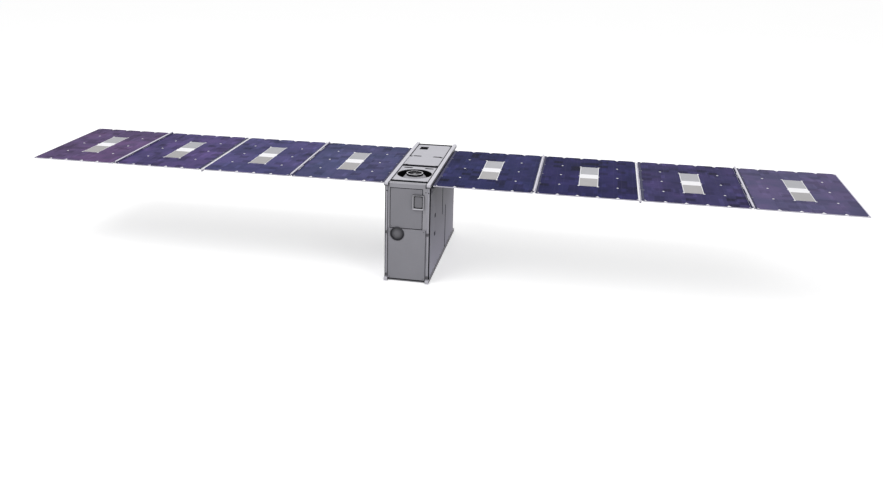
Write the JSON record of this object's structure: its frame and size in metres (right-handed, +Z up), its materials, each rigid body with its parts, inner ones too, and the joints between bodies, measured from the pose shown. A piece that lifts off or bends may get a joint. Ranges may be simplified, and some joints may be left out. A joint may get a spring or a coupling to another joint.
{
  "type": "nanosatellite",
  "caption": "Rail-framed nanosatellite with a round lens in its top deck and two hinged solar wings that fold like an accordion, flat against the sides of the bus.",
  "frame": {"origin": "on the floor, under the middle of the four rails", "axes": "+X along the right wing, +Y towards the rear rail tips, +Z up"},
  "size_m": [1.803, 0.366, 0.2263],
  "materials": {
    "rail": "satin anodised",
    "frame_grey": "matte anodised",
    "panel_light": "matte anodised",
    "deck": "satin",
    "skin": "matte anodised",
    "dark_tray": "matte",
    "dark_trim": "matte",
    "seal": "matte",
    "optics_black": "matte",
    "lens": "polished",
    "equipment": "matte",
    "board": "white board",
    "cell": "cover glass over a blue cell",
    "plate": "satin",
    "hinge": "satin"
  },
  "bodies": {
    "bus": {"rail_top_left": "rail", "rail_top_right": "rail", "rail_bottom_left": "rail", "rail_bottom_right": "rail", "corner_posts": "frame_grey", "front_bulkhead": "frame_grey", "front_upper_panel": "frame_grey", "front_lower_panel": "panel_light", "post_clips": "dark_trim", "sensor_bezel": "rail", "sensor_glass": "lens", "aperture_ring": "dark_trim", "aperture_dome": "dark_trim", "top_tray": "dark_tray", "top_front_plate": "deck", "top_rear_cover": "deck", "top_port": "dark_trim", "optics_well": "optics_black", "lens_barrel": "deck", "lens_glass": "lens", "side_skins_left": "skin", "side_skins_right": "skin", "seal_strips": "seal", "bottom_skin": "skin", "rear_bulkhead": "frame_grey", "equipment_block": "equipment", "root_hinge_leaves": "hinge"},
    "left_panel_1": {"board_left_1": "board", "cells_left_1": "cell", "plates_left_1": "plate", "hinges_left_1": "hinge"},
    "left_panel_2": {"board_left_2": "board", "cells_left_2": "cell", "plates_left_2": "plate", "hinges_left_2": "hinge"},
    "left_panel_3": {"board_left_3": "board", "cells_left_3": "cell", "plates_left_3": "plate", "hinges_left_3": "hinge"},
    "left_panel_4": {"board_left_4": "board", "cells_left_4": "cell", "plates_left_4": "plate", "hinges_left_4": "hinge"},
    "right_panel_1": {"board_right_1": "board", "cells_right_1": "cell", "plates_right_1": "plate", "hinges_right_1": "hinge"},
    "right_panel_2": {"board_right_2": "board", "cells_right_2": "cell", "plates_right_2": "plate", "hinges_right_2": "hinge"},
    "right_panel_3": {"board_right_3": "board", "cells_right_3": "cell", "plates_right_3": "plate", "hinges_right_3": "hinge"},
    "right_panel_4": {"board_right_4": "board", "cells_right_4": "cell", "plates_right_4": "plate", "hinges_right_4": "hinge"}
  },
  "joints": [
    {"name": "left_root", "type": "hinge", "parent": "bus", "child": "left_panel_1", "pos_m": [-0.053, -0.013, 0.2162], "axis": [0, -1, 0], "range_deg": [0, 90]},
    {"name": "left_fold_2", "type": "hinge", "parent": "left_panel_1", "child": "left_panel_2", "pos_m": [-0.264, -0.013, 0.2235], "axis": [0, 1, 0], "range_deg": [0, 180]},
    {"name": "left_fold_3", "type": "hinge", "parent": "left_panel_2", "child": "left_panel_3", "pos_m": [-0.477, -0.013, 0.2162], "axis": [0, -1, 0], "range_deg": [0, 180]},
    {"name": "left_fold_4", "type": "hinge", "parent": "left_panel_3", "child": "left_panel_4", "pos_m": [-0.69, -0.013, 0.2235], "axis": [0, 1, 0], "range_deg": [0, 180]},
    {"name": "right_root", "type": "hinge", "parent": "bus", "child": "right_panel_1", "pos_m": [0.053, -0.013, 0.2162], "axis": [0, 1, 0], "range_deg": [0, 90]},
    {"name": "right_fold_2", "type": "hinge", "parent": "right_panel_1", "child": "right_panel_2", "pos_m": [0.264, -0.013, 0.2235], "axis": [0, -1, 0], "range_deg": [0, 180]},
    {"name": "right_fold_3", "type": "hinge", "parent": "right_panel_2", "child": "right_panel_3", "pos_m": [0.477, -0.013, 0.2162], "axis": [0, 1, 0], "range_deg": [0, 180]},
    {"name": "right_fold_4", "type": "hinge", "parent": "right_panel_3", "child": "right_panel_4", "pos_m": [0.69, -0.013, 0.2235], "axis": [0, -1, 0], "range_deg": [0, 180]}
  ],
  "couplings": [
    {"joint": "left_fold_2", "follows": "left_root", "ratio": 2},
    {"joint": "left_fold_3", "follows": "left_root", "ratio": 2},
    {"joint": "left_fold_4", "follows": "left_root", "ratio": 2},
    {"joint": "right_fold_2", "follows": "right_root", "ratio": 2},
    {"joint": "right_fold_3", "follows": "right_root", "ratio": 2},
    {"joint": "right_fold_4", "follows": "right_root", "ratio": 2}
  ]
}
